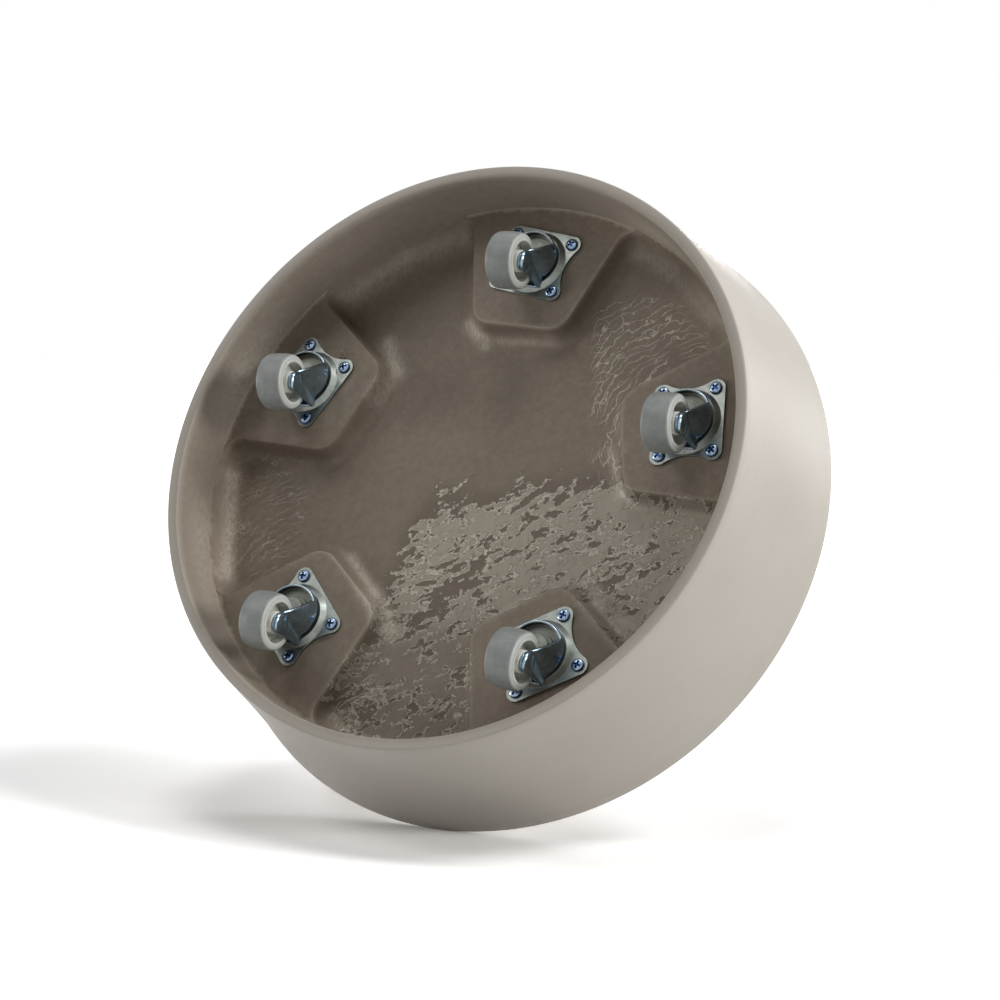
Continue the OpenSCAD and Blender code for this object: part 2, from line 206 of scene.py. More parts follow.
def fbm(x, y, seed, octaves=4, gain=0.5):
    """Layers of noise, each twice as fine as the one before and weaker by the gain."""
    total, amp, norm = np.zeros_like(x), 1.0, 0.0
    for k in range(octaves):
        total += amp * gradient_noise(x * 2**k, y * 2**k, seed + OCTAVE_SEEDS * k)
        norm += amp
        amp *= gain
    return total / norm


# ---- the saucer's shape


def wall_r(z):
    """Radius of the outer wall at a height."""
    s = (z - RIM_Z) / BODY_H
    return RIM_R + (LIP_R - RIM_R) * s - WALL_BOW * 4 * s * (1 - s)


def arc(cx, cz, radius, a0, a1, n):
    """Points of an arc from angle a0 to a1, in degrees, in n steps."""
    angles = [math.radians(a0 + (a1 - a0) * i / n) for i in range(n + 1)]
    return [(cx + radius * math.cos(a), cz + radius * math.sin(a)) for a in angles]


def outer_rows():
    """Radius, height and share of inside look from the pads' level down the skirt, round the
    ring and up the wall."""
    low = RIM_Z + RIM_ROUND
    inner, face, outer = RING_LOOK
    rows = []
    for i in range(SKIRT_N):
        z = PAD_Z + (low - PAD_Z) * i / SKIRT_N
        rows.append((RIM_R - RIM_W - (z - RIM_Z) * math.tan(SKIRT_DRAFT), z, SKIRT_LOOK))
    # a row close under the pads' level that keeps the skirt's painted highlight line narrow
    rows.insert(1, (SKIRT_R, PAD_Z - SKIRT_HIGHLIGHT_WIDTH, SKIRT_LOOK))
    edge = arc(RIM_R - RIM_W + RIM_ROUND, low, RIM_ROUND, 180, 270, RING_ARC_N)
    rows += [(r, z, inner) for r, z in edge]
    rows.append((RIM_R - RIM_W / 2, RIM_Z, face))
    edge = arc(RIM_R - RIM_ROUND, low, RIM_ROUND, 270, 360, RING_ARC_N)
    rows += [(r, z, outer) for r, z in edge]
    for i in range(1, WALL_N):
        z = low + (TOP_Z - LIP_ROUND - low) * i / WALL_N
        rows.append((wall_r(z), z, 0.0))
    return rows


def dish_points():
    """Radius and height over the lip and down into the dish."""
    dish_top = wall_r(TOP_Z) - DISH_WALL
    dish_low = wall_r(DISH_Z) - DISH_WALL
    foot_r, foot_z = dish_low - DISH_FILLET, DISH_Z + DISH_FILLET
    lip_z = TOP_Z - LIP_ROUND
    points = arc(LIP_R - LIP_ROUND, lip_z, LIP_ROUND, 0, 90, LIP_ARC_N)
    points += arc(dish_top + LIP_ROUND, lip_z, LIP_ROUND, 90, 180, LIP_ARC_N)
    for i in range(1, DISH_N):
        s = i / DISH_N
        points.append((dish_top + (dish_low - dish_top) * s, lip_z + (foot_z - lip_z) * s))
    points += arc(foot_r, foot_z, DISH_FILLET, 0, -90, DISH_ARC_N)
    return points + [(foot_r * s, DISH_Z) for s in DISH_RINGS]


def saucer_profile():
    """The turned part's rows: radius, height and share of inside look."""
    return outer_rows() + [(r, z, 0.0) for r, z in dish_points()]


def bay_growth(x, y):
    """How far a point of the underside lies outside the pads' faces (below 0 on a face), and
    whether a pad's side (1) or the skirt (0) bounds the bay there."""
    angle = np.degrees(np.arctan2(y, x))
    off = np.radians(np.abs(angle - np.round(angle / SECTOR) * SECTOR))
    r = np.hypot(x, y)
    u, v = r * np.cos(off), r * np.sin(off)
    side = v * math.cos(PAD_SIDE) - u * math.sin(PAD_SIDE)
    turn = np.degrees(np.arctan2(v - CORNER_V, u - CORNER_U))
    at_corner = (turn > 90 + PAD_HALF) & (turn < 180)
    pad = np.where(at_corner, np.hypot(u - CORNER_U, v - CORNER_V) - PAD_CORNER,
                   np.maximum(side, PAD_INNER - u))
    skirt = SKIRT_R - r
    gap = np.abs(pad - skirt)
    root = np.sqrt(np.maximum(2 * BAY_CORNER**2 - gap * gap, 0))
    growth = np.where(gap < BAY_CORNER, (pad + skirt + root) / 2 - BAY_CORNER,
                      np.minimum(pad, skirt))
    return growth, smooth(*SIDE_BLEND, skirt - pad)


def bay_depth(e, at_pad):
    """Depth under the pads' faces at growth e: a crest that is round along the pads and runs
    on from the skirt elsewhere, a drafted side and a foot fillet."""
    over = np.clip(e - CREST_FROM, 0, CREST_R)
    crest = CREST_R - np.sqrt(CREST_R**2 - over * over)
    left = np.clip((FOOT_E - e) / FOOT_FILLET, 0, 1)
    foot = PAD_H - FOOT_FILLET * (1 - np.sqrt(1 - left * left))
    plain = np.where(e < FLAT_E, np.maximum(e, 0) / math.tan(PAD_DRAFT), foot)
    depth = np.where(e < CREST_TO, crest, plain)
    depth = np.where(e < CREST_FROM, 0, depth)
    return np.clip(plain + (depth - plain) * at_pad, 0, PAD_H)


def half_outline(e):
    """A bay's outline from a pad's middle to the start of the skirt's arc, with the pads grown
    by e, and the angle in degrees at which it ends."""
    skirt = SKIRT_R - e
    corner = PAD_CORNER + e
    off = BAY_CORNER + e
    reach = math.sqrt((skirt - BAY_CORNER) ** 2 - off * off)
    bx = reach * math.cos(PAD_SIDE) - off * math.sin(PAD_SIDE)
    by = reach * math.sin(PAD_SIDE) + off * math.cos(PAD_SIDE)
    end = math.degrees(math.atan2(by, bx))
    first = arc(CORNER_U, CORNER_V, corner, 180, 90 + PAD_HALF, CORNER_N)
    last = arc(bx, by, BAY_CORNER, PAD_HALF - 90, end, CORNER_N)
    (x0, y0), (x1, y1) = first[-1], last[0]
    n = max(2, int(math.hypot(x1 - x0, y1 - y0) / RING_STEP))
    side = [(x0 + (x1 - x0) * i / n, y0 + (y1 - y0) * i / n) for i in range(1, n)]
    start = [(CORNER_U - corner, CORNER_V * i / START_N) for i in range(START_N)]
    return start + first + side + last, end


def bay_outline(e):
    """The closed outline of the bays with the pads grown by e, counterclockwise."""
    half_line, end = half_outline(e)
    skirt = SKIRT_R - e
    m = max(4, int(math.radians(SECTOR - 2 * end) * skirt / RING_STEP))
    angles = [math.radians(end + (SECTOR - 2 * end) * i / m) for i in range(1, m)]
    middle = [(skirt * math.cos(a), skirt * math.sin(a)) for a in angles]
    c, s = math.cos(math.radians(SECTOR)), math.sin(math.radians(SECTOR))
    mirrored = [(x * c + y * s, x * s - y * c) for x, y in reversed(half_line[1:])]
    x, y = np.array(half_line + middle + mirrored).T
    turns = [math.radians(SECTOR * k) for k in range(CASTERS)]
    return np.concatenate([
        np.stack([x * math.cos(a) - y * math.sin(a), x * math.sin(a) + y * math.cos(a)], 1)
        for a in turns
    ])


def ring_growths():
    """The growths at which the underside's mesh has an edge line."""
    steps = [CREST_FROM + CREST_R * math.sin(math.radians(a)) for a in CREST_ANGLES]
    steps.append(FLAT_E * FLAT_LINE)
    angles = np.linspace(math.degrees(PAD_DRAFT), 90, FOOT_LINES)
    return steps + [FOOT_E - FOOT_FILLET * math.cos(math.radians(a)) for a in angles]


def grid_points(step, seed):
    """A slightly uneven grid of points within the skirt."""
    rng = np.random.default_rng(seed)
    g = np.arange(-SKIRT_R, SKIRT_R, step)
    x, y = np.meshgrid(g, g, indexing="ij")
    uneven = rng.uniform(-GRID_JITTER, GRID_JITTER, (x.size, 2)) * step
    p = np.stack([x.ravel(), y.ravel()], 1) + uneven
    return p[np.hypot(p[:, 0], p[:, 1]) < SKIRT_R - 0.6 * step]


def underside_plan():
    """Points and triangles of the underside in plan."""
    turns = np.arange(ROUND_N) * 2 * math.pi / ROUND_N
    points = [np.stack([SKIRT_R * np.cos(turns), SKIRT_R * np.sin(turns)], 1)]
    edges = [(i, (i + 1) % ROUND_N) for i in range(ROUND_N)]
    count = ROUND_N
    for e in ring_growths():
        ring = bay_outline(e)
        kept = np.hypot(ring[:, 0], ring[:, 1]) < SKIRT_R - OUTLINE_GAP
        names = np.cumsum(kept) - 1 + count
        both = kept & np.roll(kept, -1)
        edges += zip(names[both].tolist(), np.roll(names, -1)[both].tolist())
        points.append(ring[kept])
        count += int(kept.sum())
    fine = grid_points(FLOOR_STEP, FLOOR_SEED)
    growth = bay_growth(fine[:, 0], fine[:, 1])[0]
    points.append(fine[growth > FOOT_E + 0.5 * FLOOR_STEP])
    coarse = grid_points(FACE_STEP, FACE_SEED)
    growth = bay_growth(coarse[:, 0], coarse[:, 1])[0]
    points.append(coarse[growth < -0.4 * FACE_STEP - CREST_R])
    points = np.concatenate(points)
    made = delaunay_2d_cdt([Vector(p) for p in points.tolist()], edges, [], 0, MERGE_PLAN)
    return np.array([tuple(v) for v in made[0]]), np.array(made[2])


# ---- the moulding's uneven skin


# The skin's zones, each edge as (outside, inside) of a smooth step in millimetres. Edges wander
# with a drift of this height over this distance
DRIFT = 14
DRIFT_SIZE = 40
PATCHES_Y = (-12, 26)
PATCHES_LEFT = (-20, 12)
RIGHT_BAY_X = (52, 74)
RIGHT_BAY_LOW = (-100, -74)
RIGHT_BAY_HIGH = (30, 2)
RIGHT_BAY_R = (150, 126)
LEFT_BAY_X = (-84, -108)
LEFT_BAY_Y = (50, 34)
LOW_BAY_X = (-40, -60)
LOW_BAY_NEAR = (60, 80)
LOW_BAY_FAR = (128, 112)
DULL_Y = (70, 94)
DULL_X = (14, -6)
# Growths over which the glaze ends on the pads, and the wrinkles at their feet
GLAZE_EDGE = (-1.2, 0.6)
WRINKLE_EDGE = (1.0, 5.0)
# The glaze's patches: the direction that they are drawn out along, their length and width,
# octaves and gain, how far they are warped and over what distance, the swell under them, and
# how much more of the surface they take, everywhere and past a line in y
GLAZE_LEAN = math.radians(-20)
GLAZE_SIZE = (13, 4.6)
GLAZE_OCTAVES = (5, 0.64)
GLAZE_WARP = 3
GLAZE_WARP_SIZE = 9
GLAZE_SWELL = 0.5
GLAZE_SWELL_SIZE = (48, 34)
GLAZE_MORE = 0.15
GLAZE_MORE_LOW = 0.2
GLAZE_LOW_Y = (76, 96)
# Relief: height of the patches over the pits and the step between them, depth of the pits,
# height, size, bend and sharpness of the wrinkles, and height and size of the calm skin's waves
PATCH_RISE = 0.22
PATCH_STEP = (-0.08, 0.08)
PATCH_SINK = 0.15
WRINKLE_RISE = 0.18
WRINKLE_SIZE = (12, 8)
WRINKLE_BEND = 1.5
WRINKLE_BEND_SIZE = 20
WRINKLE_SHARP = 2.6
CALM_RISE = 0.1
CALM_SIZE = 30
SEEDS = {"drift": 11, "warp_x": 21, "warp_y": 22, "glaze": 31, "swell": 41,
         "bend": 61, "wrinkles": 62, "calm": 71}


def glaze_pattern(x, y):
    """The glaze's own pattern of patches, glazed above 0."""
    along = x * math.cos(GLAZE_LEAN) + y * math.sin(GLAZE_LEAN)
    across = y * math.cos(GLAZE_LEAN) - x * math.sin(GLAZE_LEAN)
    warp_x, warp_y = (
        GLAZE_WARP * fbm(x / GLAZE_WARP_SIZE, y / GLAZE_WARP_SIZE, SEEDS[name], 3)
        for name in ("warp_x", "warp_y")
    )
    longer, wide = GLAZE_SIZE
    field = fbm((along + warp_x) / longer, (across + warp_y) / wide,
                SEEDS["glaze"], *GLAZE_OCTAVES)
    swell = fbm(x / GLAZE_SWELL_SIZE[0], y / GLAZE_SWELL_SIZE[1], SEEDS["swell"], 2)
    more = GLAZE_MORE_LOW * smooth(*GLAZE_LOW_Y, y)
    return field + GLAZE_SWELL * swell + GLAZE_MORE + more


def skin_fields(x, y, e):
    """Where the underside is glazed in patches and where it is wrinkled, each from 0 to 1, then
    the patches' own pattern (glazed above 0) and how pale the glaze is."""
    drift = DRIFT * fbm(x / DRIFT_SIZE, y / DRIFT_SIZE, SEEDS["drift"], 4)
    left_edge = x + 30 + 0.45 * (y - 15) + 0.6 * drift  # off a slanting line
    patched = smooth(*PATCHES_Y, y + drift) * smooth(*PATCHES_LEFT, left_edge)
    bay_right = smooth(*RIGHT_BAY_X, x + 0.3 * drift) * smooth(*RIGHT_BAY_LOW, y)
    bay_right = bay_right * smooth(*RIGHT_BAY_HIGH, y) * smooth(*RIGHT_BAY_R, np.hypot(x, y))
    bay_left = 0.5 * smooth(*LEFT_BAY_X, x + 0.4 * drift) * smooth(*LEFT_BAY_Y, np.abs(y + 4))
    bay_low = smooth(*LOW_BAY_X, x + drift) * smooth(*LOW_BAY_NEAR, y) * smooth(*LOW_BAY_FAR, y)
    wrinkled = np.clip(bay_right + bay_left + 0.8 * bay_low, 0, 1) * smooth(*WRINKLE_EDGE, e)
    pale = 1.0 - 0.8 * smooth(*DULL_Y, y + 0.5 * drift) * smooth(*DULL_X, x + 0.4 * drift)
    return patched * smooth(*GLAZE_EDGE, e), wrinkled, glaze_pattern(x, y), pale


# Pale scuffs and painted highlights on the skirt: angle in degrees, spread, strength
SKIRT_SCUFFS_AND_HIGHLIGHTS = ((-44, 9, 0.8), (-148, 12, 0.5), (171, 16, 0.45))
# Pale scuffs and painted highlights along the feet of the pads and the skirt: x, y to x, y, width,
# strength
SCUFFS_AND_HIGHLIGHTS = (
    (-6, -92, 3, -78, 4, 1),
    (12, -78, 44, -70.5, 2.5, 0.45),
    (-54, -92, -48, -72, 4.4, 1),
    (-48, -72, -60, -56, 3.4, 0.6),
    (-72, 32, -59, 54, 3.4, 0.7),
    (-59, 54, -48, 78, 4.6, 1),
    (60, 69, 83, 97, 3.6, 0.9),
    (-80, 119, -75, 124, 3.2, 1),
    (91, -112, 109, -96, 4.2, 0.7),
    (109, -96, 129, -64, 3.2, 0.45),
    (73, -2, 78, 25, 2.8, 0.7),
    (-145.5, -29, -145.5, 30, 4, 0.95),
    (-76, -124, -42, -139, 6, 0.55),
    (-42, -139, -10, -143, 5, 0.45),
)


def scuff_and_highlight_field(x, y):
    """How much pale scuff and painted highlight lies on the underside, from 0 to 1."""
    total = np.zeros_like(x)
    for x0, y0, x1, y1, width, strength in SCUFFS_AND_HIGHLIGHTS:
        run_x, run_y = x1 - x0, y1 - y0
        share = ((x - x0) * run_x + (y - y0) * run_y) / (run_x**2 + run_y**2)
        share = np.clip(share, 0, 1)
        off = np.hypot(x - x0 - share * run_x, y - y0 - share * run_y)
        total = np.maximum(total, strength * np.exp(-((off / width) ** 2)))
    return total


def skirt_scuffs_and_highlights(points):
    """How much pale scuff and painted highlight lies on the skirt, from 0 to 1."""
    x, y, z = points.T
    angle = np.degrees(np.arctan2(y, x))
    on_skirt = (np.hypot(x, y) < RIM_R - RIM_W + 0.3) & (z < PAD_Z + 1.0)
    total = np.zeros_like(x)
    for middle, spread, strength in SKIRT_SCUFFS_AND_HIGHLIGHTS:
        off = (angle - middle + 180.0) % 360.0 - 180.0
        total = np.maximum(total, strength * np.exp(-((off / spread) ** 2)))
    return total * on_skirt * smooth(RIM_Z + 4.0, PAD_Z - 8.0, z)


# Middles of the two places that the wrinkles gather round, right and left
FOLDS_RIGHT = (125.0, 5.0)
FOLDS_LEFT = (-97.0, 70.0)


def fold_reach(x, y):
    """Distance from the place that the wrinkles gather round, in millimetres."""
    right = np.hypot(x - FOLDS_RIGHT[0], y - FOLDS_RIGHT[1])
    left = np.hypot(x - FOLDS_LEFT[0], y - FOLDS_LEFT[1])
    return np.where(x > 0, right, left)


def skin_relief(patched, wrinkled, glaze, x, y):
    """Height of the skin's unevenness, in millimetres."""
    patches = patched * (PATCH_RISE * smooth(*PATCH_STEP, glaze) - PATCH_SINK)
    size = WRINKLE_BEND_SIZE
    bend = WRINKLE_BEND * fbm(x / size, y / size, SEEDS["bend"], 2)
    waves = fbm(x / WRINKLE_SIZE[0] + bend, y / WRINKLE_SIZE[1], SEEDS["wrinkles"], 3)
    ridges = 1 - np.abs(waves) * WRINKLE_SHARP
    wrinkles = wrinkled * WRINKLE_RISE * np.clip(ridges, 0, 1) ** 3
    calm = CALM_RISE * fbm(x / CALM_SIZE, y / CALM_SIZE, SEEDS["calm"], 3)
    return patches + wrinkles + calm


# Growths at which a pad's painted highlight line along its edge fades in and out, how it fades
# along the skirt, and the slanting line past which the pads' edges get no painted highlight
LINE_IN = (-0.9, -0.3)
LINE_OUT = (0.5, 0.0)
LINE_AT_SKIRT = (-0.3, -1.5)
LINE_LIT = (-30.0, -4.0)


def edge_highlight_fields(turned, x, y, e):
    """How much painted highlight line along edges lies on the turned part's points and on the
    underside's.
    """
    line = smooth(*LINE_IN, e) * smooth(*LINE_OUT, e) * smooth(*LINE_LIT, x + 0.8 * y + 60)
    at_skirt = np.hypot(x, y) > SKIRT_R - ON_EDGE
    under = np.where(at_skirt, SKIRT_EDGE_HIGHLIGHT * smooth(*LINE_AT_SKIRT, e), line)
    growth = bay_growth(turned[:ROUND_N, 0], turned[:ROUND_N, 1])[0]
    above = np.zeros(len(turned))
    above[:ROUND_N] = SKIRT_EDGE_HIGHLIGHT * smooth(*LINE_AT_SKIRT, growth)
    return above, under


# ---- meshes


def bands(rings, around):
    """Quads between neighbours in a row of closed rings."""
    faces = []
    for a in range(0, (rings - 1) * around, around):
        for i in range(around):
            k = (i + 1) % around
            faces.append((a + i, a + k, a + around + k, a + around + i))
    return faces


def revolve(profile):
    """Points, quads and inside share of a profile turned about Z, closed at its last row."""
    turns = np.arange(ROUND_N) * 2 * math.pi / ROUND_N
    points, inside = [], []
    for r, z, share in profile:
        points.append(np.stack([r * np.cos(turns), r * np.sin(turns), np.full(ROUND_N, z)], 1))
        inside.append(np.full(ROUND_N, share))
    faces = bands(len(profile), ROUND_N)
    last = (len(profile) - 1) * ROUND_N
    points.append(np.array([[0.0, 0.0, profile[-1][1]]]))
    inside.append(np.zeros(1))
    centre = last + ROUND_N
    faces += [(last + i, last + (i + 1) % ROUND_N, centre) for i in range(ROUND_N)]
    return np.concatenate(points), faces, np.concatenate(inside)


def mesh_object(name, points, faces):
    """A new object in the scene from points in millimetres."""
    mesh = bpy.data.meshes.new(name)
    mesh.from_pydata((np.asarray(points) * MM).tolist(), [], faces)
    mesh.update()
    obj = bpy.data.objects.new(name, mesh)
    bpy.context.scene.collection.objects.link(obj)
    return obj


def add_field(mesh, name, values):
    """One number for each point, which the materials read by name."""
    layer = mesh.attributes.new(name, "FLOAT", "POINT")
    layer.data.foreach_set("value", np.asarray(values, np.float32))


def weld(mesh, distance):
    """Joins points closer than a distance and turns all faces outwards."""
    work = bmesh.new()
    work.from_mesh(mesh)
    bmesh.ops.remove_doubles(work, verts=work.verts, dist=distance)
    bmesh.ops.recalc_face_normals(work, faces=work.faces)
    work.to_mesh(mesh)
    work.free()


def make_saucer():
    """The moulding as one closed mesh, with its uneven underside as real relief."""
    turned, turned_faces, inside = revolve(saucer_profile())
    plan, triangles = underside_plan()
    x, y = plan[:, 0], plan[:, 1]
    r = np.hypot(x, y)
    e, at_pad = bay_growth(x, y)
    patched, wrinkled, glaze, pale = skin_fields(x, y, e)
    fade = smooth(SKIRT_R - 0.5, SKIRT_R - 4, r) * smooth(-0.5, 1.5, e)
    relief = skin_relief(patched, wrinkled, glaze, x, y) * fade
    depth = np.where(r > SKIRT_R - ON_EDGE, 0, bay_depth(e, at_pad))
    under = np.column_stack([x, y, PAD_Z + depth - relief])
    start = len(turned)
    faces = turned_faces + [tuple(int(v) + start for v in reversed(t)) for t in triangles]
    obj = mesh_object("saucer_body", np.concatenate([turned, under]), faces)
    none = np.zeros(start)
    # painted shade on the pads' drafted sides
    side = smooth(-0.2, 0.5, e) * smooth(0.62 * FOOT_E, 0.25 * FOOT_E, e) * at_pad
    # Among these fields: painted shade on the pads' sides, pale scuffs partly painted as highlight,
    # and painted highlight lines along edges
    fields = {
        "inside": (inside, np.ones(len(plan))), "patched": (none, patched),
        "wrinkled": (none, wrinkled), "glaze": (none - 1, glaze), "pale": (none + 1, pale),
        "scuff_and_highlight": (skirt_scuffs_and_highlights(turned), scuff_and_highlight_field(x, y)), "side": (none, side),
        "crest": edge_highlight_fields(turned, x, y, e), "reach": (none, fold_reach(x, y)),
    }
    for name, parts in fields.items():
        add_field(obj.data, name, np.concatenate(parts))
    weld(obj.data, WELD * MM)
    obj.data.shade_smooth()
    obj.data.set_sharp_from_angle(angle=SHARP_ANGLE)
    return obj


# Shavings that the screws left on the pads: x, y, spread, count, seed
SHAVINGS = (
    (-74, -83, 3.6, 11, 5),
    (-92, -95, 2.2, 4, 6),
    (138.6, -21.6, 2.8, 8, 7),
    (-76, 75, 2.4, 6, 8),
    (60, -122.8, 2, 4, 9),
)
SHAVING_R = 0.17
SHAVING_N = 22
SHAVING_LENGTH = (2.2, 4.6)
SHAVING_BEND = (1.5, 4.5)
SHAVING_LIFT = (0.1, 0.7)
# Scrapes round the screws: x, y, radius, from and to angle
SCRAPES = (
    (-94.8, -91.8, 5.6, -110, 20),
    (-76, 73.6, 5.2, 20, 150),
    (-74.2, -75.2, 4.6, -100, -10),
    (134.6, -18.8, 5, -95, -5),
)
SCRAPE_R = 1.4 * SHAVING_R
SCRAPE_N = 26
SCRAPE_SINK = 0.05
# A tube's ends as shares of half a turn of its swelling
TUBE_TAPER = (0.15, 0.85)


def tube(path, radius, sides=6):
    """Points and faces of a thin tube along a path, closed at its ends."""
    path = np.asarray(path, float)
    ahead = np.gradient(path, axis=0)
    ahead /= np.linalg.norm(ahead, axis=1)[:, None]
    side = np.cross(ahead, (0, 0, 1))
    side /= np.linalg.norm(side, axis=1)[:, None]
    rise = np.cross(side, ahead)
    turns = np.arange(sides) * 2 * math.pi / sides
    taper = radius * np.sin(np.linspace(*TUBE_TAPER, len(path)) * math.pi)[:, None, None]
    ring = np.cos(turns)[:, None] * side[:, None] + np.sin(turns)[:, None] * rise[:, None]
    points = (path[:, None] + taper * ring).reshape(-1, 3)
    faces = bands(len(path), sides)
    faces.append(tuple(range(sides - 1, -1, -1)))
    faces.append(tuple(range((len(path) - 1) * sides, len(path) * sides)))
    return points, faces


def shaving_path(rng, x, y, spread):
    """A curl that lies on a pad near a place."""
    start = np.array([x, y]) + rng.normal(0, 0.5 * spread, 2)
    turn = rng.uniform(0, 2 * math.pi)
    bend = rng.uniform(*SHAVING_BEND) * rng.choice((-1, 1))
    t = np.linspace(0, 1, SHAVING_N)
    angle = turn + bend * t * (0.6 + t)
    step = rng.uniform(*SHAVING_LENGTH) / SHAVING_N
    plan = start + step * np.cumsum(np.stack([np.cos(angle), np.sin(angle)], 1), 0)
    lift = SHAVING_LIFT[0] + rng.uniform(*SHAVING_LIFT) * np.sin(math.pi * t) ** 2
    return np.column_stack([plan, PAD_Z - lift])


def scrape_path(x, y, radius, a0, a1):
    """A wavy arc round a screw, sunk a little into the pad."""
    angle = np.radians(np.linspace(a0, a1, SCRAPE_N))
    wave = radius + 0.25 * np.sin(angle * 5)
    return np.column_stack([x + wave * np.cos(angle), y + wave * np.sin(angle),
                            np.full(SCRAPE_N, PAD_Z + SCRAPE_SINK)])


def shaving_tubes():
    """Points and faces of each shaving and scrape."""
    tubes = []
    for x, y, spread, count, seed in SHAVINGS:
        rng = np.random.default_rng(seed)
        tubes += [tube(shaving_path(rng, x, y, spread), SHAVING_R) for _ in range(count)]
    return tubes + [tube(scrape_path(*scrape), SCRAPE_R) for scrape in SCRAPES]


def make_shavings():
    """Plastic shavings and scrape marks round some of the screws."""
    points, faces, count = [], [], 0
    for made, sides in shaving_tubes():
        points.append(made)
        faces += [tuple(v + count for v in face) for face in sides]
        count += len(made)
    obj = mesh_object("shavings", np.concatenate(points), faces)
    obj.data.shade_smooth()
    return obj


# ---- shader helpers


class Shader:
    """A material's node tree with short ways to add and join nodes."""

    def __init__(self, name):
        self.material = bpy.data.materials.new(name)
        self.material.use_nodes = True
        self.tree = self.material.node_tree
        self.tree.nodes.clear()
        self.out = self.node("OutputMaterial")
        self.coords = self.node("TexCoord").outputs["Object"]

    def put(self, socket, value):
        """Links a socket or sets its value."""
        if isinstance(value, bpy.types.NodeSocket):
            self.tree.links.new(value, socket)
        else:
            socket.default_value = value

    def node(self, kind, inputs=None, **settings):
        """A new shader node; each of its inputs is a value or another node's output."""
        made = self.tree.nodes.new("ShaderNode" + kind)
        for key, value in settings.items():
            setattr(made, key, value)
        for key, value in (inputs or {}).items():
            self.put(made.inputs[key], value)
        return made

    def noise(self, scale, detail=4, rough=0.5, warp=0.0, where=None):
        """Noise from 0 to 1 with so many features in a metre."""
        return self.node("TexNoise", {
            "Vector": where or self.coords, "Scale": scale, "Detail": detail,
            "Roughness": rough, "Distortion": warp}).outputs["Fac"]

    def stretch(self, scale):
        """Coordinates scaled along each axis."""
        return self.node("Mapping", {"Vector": self.coords, "Scale": scale}).outputs["Vector"]

    def along(self, lean, longer, shift=0.0):
        """Coordinates in which a pattern is drawn out along a direction in plan."""
        return self.node("Mapping", {
            "Vector": self.coords, "Location": (shift, shift, 0),
            "Rotation": (0, 0, math.radians(lean)), "Scale": (longer, 1, 1)},
            vector_type="TEXTURE").outputs["Vector"]

    def height(self):
        """Height over the ground, in metres."""
        return self.node("SeparateXYZ", {"Vector": self.coords}).outputs["Z"]

    def field(self, name):
        """A number that the mesh carries at its points."""
        return self.node("Attribute", attribute_name=name).outputs["Fac"]

    def math(self, operation, a, b=0.0):
        """One sum of two numbers."""
        return self.node("Math", {0: a, 1: b}, operation=operation).outputs[0]

    def times(self, a, b):
        """The product of two numbers."""
        return self.math("MULTIPLY", a, b)

    def vector(self, operation, a, b=None, result="Vector"):
        """One sum of two vectors."""
        inputs = {0: a} if b is None else {0: a, 1: b}
        return self.node("VectorMath", inputs, operation=operation).outputs[result]

    def centred(self, value, gain):
        """A 0 to 1 value moved to lie about 0 and scaled."""
        return self.times(self.math("SUBTRACT", value, 0.5), gain)

    def ramp(self, value, low, high, to_low=0.0, to_high=1.0):
        """A smooth step between two values, where low may be the greater."""
        return self.node("MapRange", {
            "Value": value, "From Min": low, "From Max": high,
            "To Min": to_low, "To Max": to_high},
            interpolation_type="SMOOTHSTEP").outputs["Result"]

    def mix(self, share, a, b):
        """Colour a, with a share of colour b over it."""
        made = self.node("Mix", data_type="RGBA")
        self.put(made.inputs["Factor"], share)
        ends = [s for s in (*made.inputs, *made.outputs) if s.type == "RGBA"]
        self.put(ends[0], a)
        self.put(ends[1], b)
        return ends[2]

    def bump(self, height, distance, strength=1.0, normal=None):
        """The surface's direction, tilted by a height of so many metres."""
        inputs = {"Height": height, "Distance": distance, "Strength": strength}
        if normal is not None:
            inputs["Normal"] = normal
        return self.node("Bump", inputs).outputs["Normal"]

    def rounded(self, radius, samples=6):
        """The surface's direction with its edges softened over a radius in metres."""
        return self.node("Bevel", {"Radius": radius}, samples=samples).outputs["Normal"]

    def surface(self, colour, roughness, normal, **others):
        """Ends the material with a surface of these values."""
        shader = self.node("BsdfPrincipled", {
            "Base Color": colour, "Roughness": roughness, "Normal": normal,
            **{key.replace("_", " "): value for key, value in others.items()}})
        self.tree.links.new(shader.outputs[0], self.out.inputs["Surface"])
        return self.material


# ---- the saucer's material


OUTSIDE = srgb(181, 175, 166)
OUTSIDE_DEEP = srgb(171, 164, 155)
INSIDE = srgb(141, 129, 114)
INSIDE_DEEP = srgb(129, 117, 103)
# the glaze's paler tone, partly painted sheen
GLAZE_AND_SHEEN = srgb(178, 168, 153)
GLAZE_AND_SHEEN_DEEP = srgb(170, 160, 146)
PIT = srgb(112, 101, 88)
# pale colour of the scuffs, partly painted highlight, and of the painted highlight lines along
# edges
PALE_SCUFF_AND_HIGHLIGHT = srgb(214, 203, 187)
# pale colour of the fold lines, and of the glaze's rims, where it is partly painted highlight
CREASE_AND_RIM_HIGHLIGHT = srgb(232, 222, 206)
# colour of the painted shade on the pads' sides
PAINTED_SHADE = srgb(84, 74, 63)

# Noise patterns here and below: features in a metre, detail, roughness and warp
SAUCER_BROAD = (14.0, 3, 0.5)
SAUCER_CLOUD = (260.0, 4, 0.6, 0.4)
SAUCER_GRAIN = (1300.0, 2, 0.5)
WALL_STREAKS = (60.0, 3, 0.6, 0.0)
GLAZE_STREAKS = (700.0, 4, 0.65, 0.0)
GLAZE_RAGS = (460.0, 8, 0.8, 0.9)
GLAZE_BORDER = (330.0, 4, 0.6)
SCUFF_HAIRS = (900.0, 4, 0.7, 0.8)
